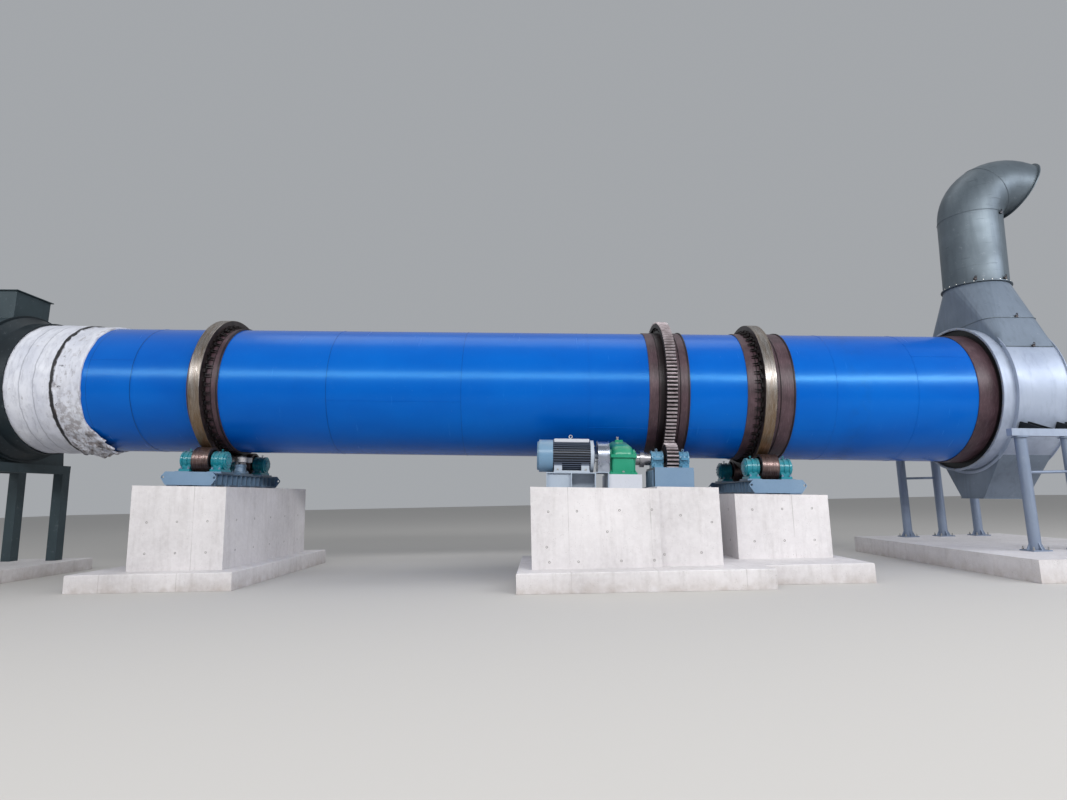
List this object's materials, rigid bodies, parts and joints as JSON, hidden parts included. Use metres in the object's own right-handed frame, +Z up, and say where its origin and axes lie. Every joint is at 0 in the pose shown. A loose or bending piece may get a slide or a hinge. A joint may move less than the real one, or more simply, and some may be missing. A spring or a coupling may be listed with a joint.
{
  "type": "rotary clay dryer",
  "caption": "Long sloping blue drum on two roller stations, turned by a motor, gear reducer, pinion and girth gear, with a feed hood, a discharge hood and an exhaust duct.",
  "frame": {"origin": "on the floor right under the drum axis at the thrust tyre, in the underside of the thrust station's footing", "axes": "+X towards the discharge end, level; +Y away from the drive side; +Z up"},
  "size_m": [21.6, 5.68, 7.8789],
  "materials": {
    "drum_blue": "gloss enamel",
    "primer_brown": "matt primer",
    "tyre_steel": "worn rolling face",
    "gear_steel": "primer with worn flanks",
    "lagging": "coated insulation blanket",
    "concrete": "cast concrete",
    "base_grey": "satin paint",
    "housing_teal": "gloss enamel",
    "bearing_blue": "gloss enamel",
    "reducer_green": "gloss enamel",
    "motor_grey": "satin paint",
    "stand_white": "satin paint",
    "coupling_steel": "machined",
    "hood_grey": "satin paint",
    "seal_dark": "matt paint"
  },
  "bodies": {
    "drum": {"drum_shell": "drum_blue", "feed_lagging": "lagging", "tyres": "tyre_steel", "wear_bands": "primer_brown", "tyre_pads": "primer_brown", "girth_gear": "gear_steel", "gear_band": "primer_brown"},
    "thrust_front_roller": {"thrust_front_roller": "gear_steel"},
    "thrust_rear_roller": {"thrust_rear_roller": "gear_steel"},
    "discharge_front_roller": {"discharge_front_roller": "gear_steel"},
    "discharge_rear_roller": {"discharge_rear_roller": "gear_steel"},
    "feed_side_thrust_roller": {"feed_side_thrust_roller": "coupling_steel"},
    "discharge_side_thrust_roller": {"discharge_side_thrust_roller": "coupling_steel"},
    "pinion": {"pinion": "gear_steel", "pinion_coupling": "coupling_steel"},
    "root": {"roller_housings": "housing_teal", "roller_bases": "base_grey", "thrust_roller_pedestals": "base_grey", "piers": "concrete", "footings": "concrete", "pinion_base": "base_grey", "pinion_bearings": "bearing_blue", "reducer_case": "reducer_green", "reducer_cover": "reducer_green", "reducer_base": "stand_white", "motor": "motor_grey", "motor_cowl": "motor_grey", "motor_top_box": "stand_white", "motor_stand": "stand_white", "coupling_guard": "coupling_steel", "hood_drum": "hood_grey", "hood_collar": "hood_grey", "hood_transition": "hood_grey", "hood_end_plates": "hood_grey", "hood_hopper": "hood_grey", "exhaust_duct": "hood_grey", "exhaust_elbow": "hood_grey", "hood_posts": "hood_grey", "hood_beams": "hood_grey", "discharge_slabs": "concrete", "feed_seal": "seal_dark", "feed_hood": "hood_grey", "feed_hood_end_plate": "hood_grey", "feed_chute": "hood_grey", "feed_hood_frame": "hood_grey"}
  },
  "joints": [
    {"name": "drum_spin", "type": "hinge", "parent": "root", "child": "drum", "pos_m": [0, 0, 3.52], "axis": [0.9994, 0, -0.035], "continuous": true},
    {"name": "thrust_front_roller_spin", "type": "hinge", "parent": "root", "child": "thrust_front_roller", "pos_m": [-0.04908, -0.81015, 2.11764], "axis": [0.9994, 0, -0.035], "continuous": true},
    {"name": "thrust_rear_roller_spin", "type": "hinge", "parent": "root", "child": "thrust_rear_roller", "pos_m": [-0.04908, 0.81015, 2.11764], "axis": [0.9994, 0, -0.035], "continuous": true},
    {"name": "discharge_front_roller_spin", "type": "hinge", "parent": "root", "child": "discharge_front_roller", "pos_m": [10.02475, -0.81015, 1.76505], "axis": [0.9994, 0, -0.035], "continuous": true},
    {"name": "discharge_rear_roller_spin", "type": "hinge", "parent": "root", "child": "discharge_rear_roller", "pos_m": [10.02475, 0.81015, 1.76505], "axis": [0.9994, 0, -0.035], "continuous": true},
    {"name": "feed_side_thrust_spin", "type": "hinge", "parent": "root", "child": "feed_side_thrust_roller", "pos_m": [-0.3442, 0, 2.18522], "axis": [0.035, 0, 0.9994], "continuous": true},
    {"name": "discharge_side_thrust_spin", "type": "hinge", "parent": "root", "child": "discharge_side_thrust_roller", "pos_m": [0.25004, 0, 2.16443], "axis": [0.035, 0, 0.9994], "continuous": true},
    {"name": "pinion_spin", "type": "hinge", "parent": "root", "child": "pinion", "pos_m": [8.31475, -1.06352, 1.93804], "axis": [0.9994, 0, -0.035], "continuous": true}
  ],
  "couplings": [
    {"joint": "thrust_front_roller_spin", "follows": "drum_spin", "ratio": -5.75},
    {"joint": "thrust_rear_roller_spin", "follows": "drum_spin", "ratio": -5.75},
    {"joint": "discharge_front_roller_spin", "follows": "drum_spin", "ratio": -5.75},
    {"joint": "discharge_rear_roller_spin", "follows": "drum_spin", "ratio": -5.75},
    {"joint": "feed_side_thrust_spin", "follows": "drum_spin", "ratio": 6.8325},
    {"joint": "discharge_side_thrust_spin", "follows": "drum_spin", "ratio": -6.8325},
    {"joint": "pinion_spin", "follows": "drum_spin", "ratio": -5.3333}
  ]
}
